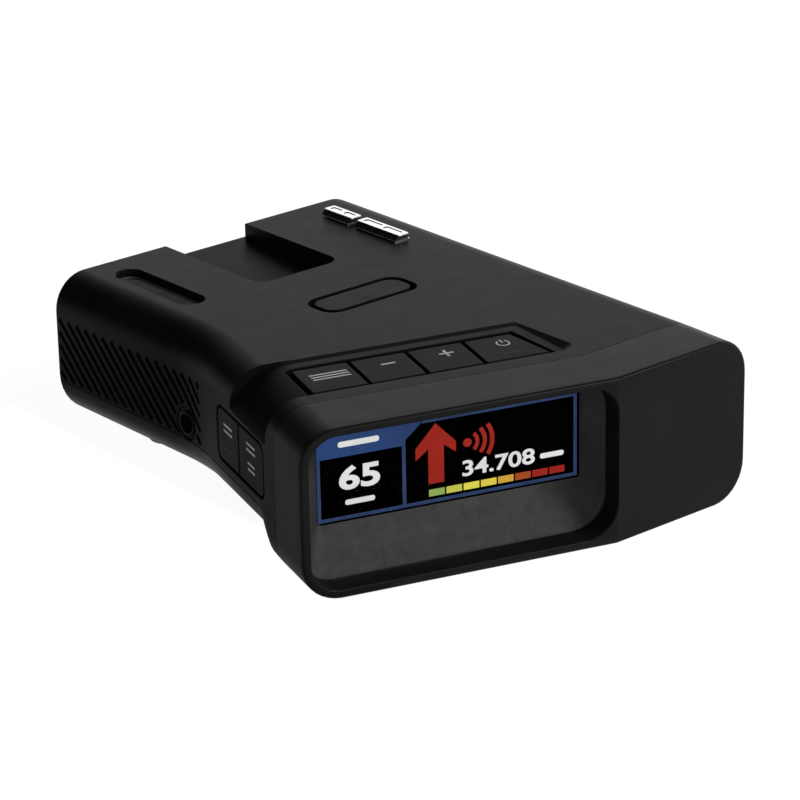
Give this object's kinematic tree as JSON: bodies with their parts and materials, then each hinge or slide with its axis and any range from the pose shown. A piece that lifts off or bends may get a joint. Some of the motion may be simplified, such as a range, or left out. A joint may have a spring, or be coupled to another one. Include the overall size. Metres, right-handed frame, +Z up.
{
  "type": "radar detector",
  "caption": "Windshield radar detector: flat black case with its display end turned to the driver, deck and side keys, and a slide-in mount pocket.",
  "frame": {"origin": "middle of the footprint, to within 0.5 mm, on the surface that the unit stands on", "axes": "+Z up; -Y towards the driver (display end), +Y towards the road (radar end); +X to the right as the driver sees it"},
  "size_m": [0.0926, 0.114, 0.0344],
  "materials": {
    "housing": "soft-touch black, very fine texture",
    "bezel": "satin black, smoother than the covers",
    "hood": "dark grey with a coarse spark texture",
    "display_lens": "clear, gloss, with a dark border printed behind",
    "display": "black display panel with a lit colour picture",
    "keys": "satin black with grey printed marks",
    "key_rubber": "dark grey, dull",
    "inner_plastic": "dark moulded plastic",
    "flex": "amber film",
    "board": "green solder mask",
    "spring_steel": "bright wire",
    "speaker_frame": "black painted",
    "grille": "black ribs",
    "socket": "black moulded socket",
    "shield": "tinned sheet",
    "horn_metal": "die-cast, unpolished",
    "laser_window": "very dark red, gloss",
    "antenna_ceramic": "tan ceramic with a silver patch",
    "chrome_trim": "bright plated, engraved line pattern",
    "label": "blank grey label",
    "feet": "black, dull",
    "screw_steel": "black zinc plated"
  },
  "bodies": {
    "root": {"top_cover": "housing", "bottom_cover": "housing", "front_bezel": "bezel", "display_hood": "hood", "display_lens": "display_lens", "display_module": "display", "display_bracket": "inner_plastic", "display_ribbon": "flex", "deck_key_pad": "key_rubber", "deck_key_board": "board", "side_key_board": "board", "release_spring": "spring_steel", "latch_bracket": "inner_plastic", "speaker": "speaker_frame", "speaker_gasket": "key_rubber", "speaker_grille": "grille", "audio_jack": "socket", "power_jack": "socket", "usb_port": "shield", "main_board": "board", "rf_shield": "shield", "front_horn": "horn_metal", "rear_horn": "horn_metal", "laser_lens": "laser_window", "laser_sensor": "inner_plastic", "gps_antenna": "antenna_ceramic", "trim_badge": "chrome_trim", "rating_label": "label", "rear_feet": "feet", "cover_screws": "screw_steel", "bracket_screws": "screw_steel"},
    "menu_key": {"menu_button": "keys"},
    "volume_down_key": {"volume_down_button": "keys"},
    "volume_up_key": {"volume_up_button": "keys"},
    "power_key": {"power_button": "keys"},
    "mark_key": {"mark_button": "keys"},
    "mute_key": {"mute_button": "keys"},
    "mount_release": {"release_button": "keys", "release_latch": "inner_plastic"}
  },
  "joints": [
    {"name": "menu_press", "type": "slide", "parent": "root", "child": "menu_key", "axis": [0.0107, 0.0351, -0.9993], "range_m": [0, 0.0006], "stiffness_N_per_m": 800},
    {"name": "volume_down_press", "type": "slide", "parent": "root", "child": "volume_down_key", "axis": [0.0107, 0.0351, -0.9993], "range_m": [0, 0.0006], "stiffness_N_per_m": 800},
    {"name": "volume_up_press", "type": "slide", "parent": "root", "child": "volume_up_key", "axis": [0.0107, 0.0351, -0.9993], "range_m": [0, 0.0006], "stiffness_N_per_m": 800},
    {"name": "power_press", "type": "slide", "parent": "root", "child": "power_key", "axis": [0.0107, 0.0351, -0.9993], "range_m": [0, 0.0006], "stiffness_N_per_m": 800},
    {"name": "mark_press", "type": "slide", "parent": "root", "child": "mark_key", "axis": [0.9568, -0.2907, 0], "range_m": [0, 0.0006], "stiffness_N_per_m": 800},
    {"name": "mute_press", "type": "slide", "parent": "root", "child": "mute_key", "axis": [0.9568, -0.2907, 0], "range_m": [0, 0.0006], "stiffness_N_per_m": 800},
    {"name": "release_press", "type": "slide", "parent": "root", "child": "mount_release", "axis": [0, 0, -1], "range_m": [0, 0.0016], "stiffness_N_per_m": 800, "deforming": ["release_spring"]}
  ]
}
